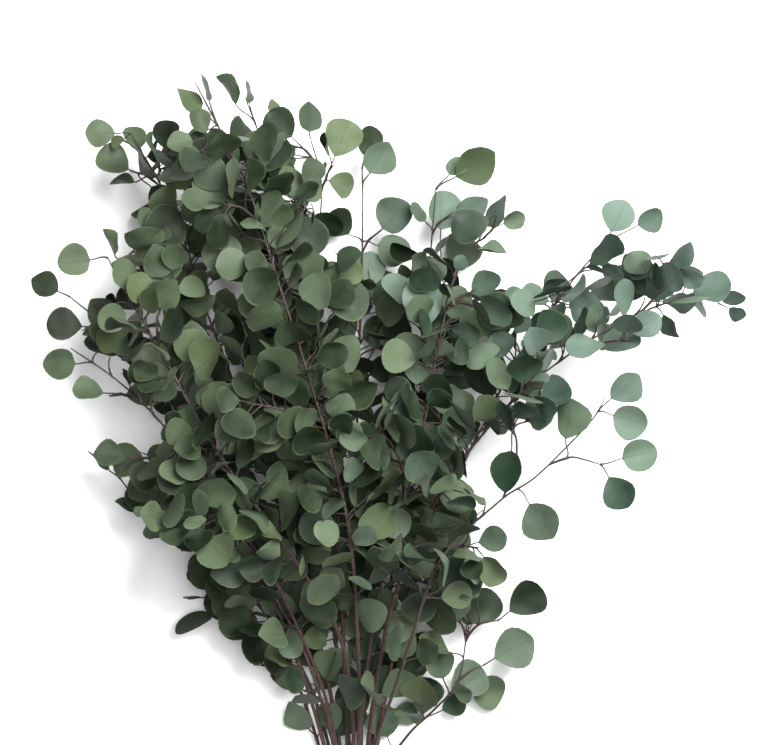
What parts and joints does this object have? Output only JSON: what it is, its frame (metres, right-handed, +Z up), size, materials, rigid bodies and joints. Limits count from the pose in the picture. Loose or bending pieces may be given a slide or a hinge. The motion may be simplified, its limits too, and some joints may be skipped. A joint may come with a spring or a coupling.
{
  "type": "bunch of eucalyptus branches",
  "caption": "Tied bunch of leafy silver-dollar eucalyptus branches with round grey-green leaves on thin forked stems, lying down.",
  "frame": {"origin": "on the surface that the bunch lies on, under the centre of its box", "axes": "+Y from the cut ends towards the leafy tips, +Z up from the surface, +X to the right of the bunch seen from above"},
  "size_m": [0.6104, 0.7474, 0.1944],
  "materials": {
    "bark": "thin smooth bark, dark grey brown above and reddish brown towards the cut ends",
    "leaf": "leathery matt leaf, grey green with a pale bloom, fine veins and a paler underside",
    "twine": "coarse natural jute twine wound side by side"
  },
  "bodies": {
    "root": {"far_left_stem": "bark", "far_left_twig_1": "leaf", "far_left_twig_2": "leaf", "far_right_stem": "bark", "far_right_twig_1": "leaf", "far_right_twig_2": "leaf", "far_right_twig_3": "leaf", "left_lower_stem": "bark", "left_lower_twig_1": "leaf", "left_middle_stem": "bark", "left_middle_twig_1": "leaf", "left_outer_stem": "bark", "left_outer_twig_1": "leaf", "left_outer_twig_2": "leaf", "left_outer_twig_3": "leaf", "left_upper_stem": "bark", "left_upper_twig_1": "leaf", "left_upper_twig_2": "leaf", "left_upper_twig_3": "leaf", "low_left_stem": "bark", "low_left_twig_1": "leaf", "low_right_stem": "bark", "low_right_twig_1": "leaf", "low_right_twig_2": "leaf", "right_inner_stem": "bark", "right_inner_twig_1": "leaf", "right_inner_twig_2": "leaf", "right_inner_twig_3": "leaf", "right_outer_stem": "bark", "right_outer_twig_1": "leaf", "right_outer_twig_2": "leaf", "right_outer_twig_3": "leaf", "right_upper_stem": "bark", "right_upper_twig_1": "leaf", "right_upper_twig_2": "leaf", "right_upper_twig_3": "leaf", "top_inner_stem": "bark", "top_inner_twig_1": "leaf", "top_inner_twig_2": "leaf", "top_left_stem": "bark", "top_left_twig_1": "leaf", "top_left_twig_2": "leaf", "top_left_twig_3": "leaf", "top_middle_stem": "bark", "top_middle_twig_1": "leaf", "top_middle_twig_2": "leaf", "top_middle_twig_3": "leaf", "top_middle_twig_4": "leaf", "top_right_stem": "bark", "top_right_twig_1": "leaf", "top_right_twig_2": "leaf", "twine_binding": "twine", "upper_left_stem": "bark", "upper_left_twig_1": "leaf", "upper_left_twig_2": "leaf", "upper_left_twig_3": "leaf", "upper_right_stem": "bark", "upper_right_twig_1": "leaf", "upper_right_twig_2": "leaf", "upper_right_twig_3": "leaf"}
  },
  "joints": []
}
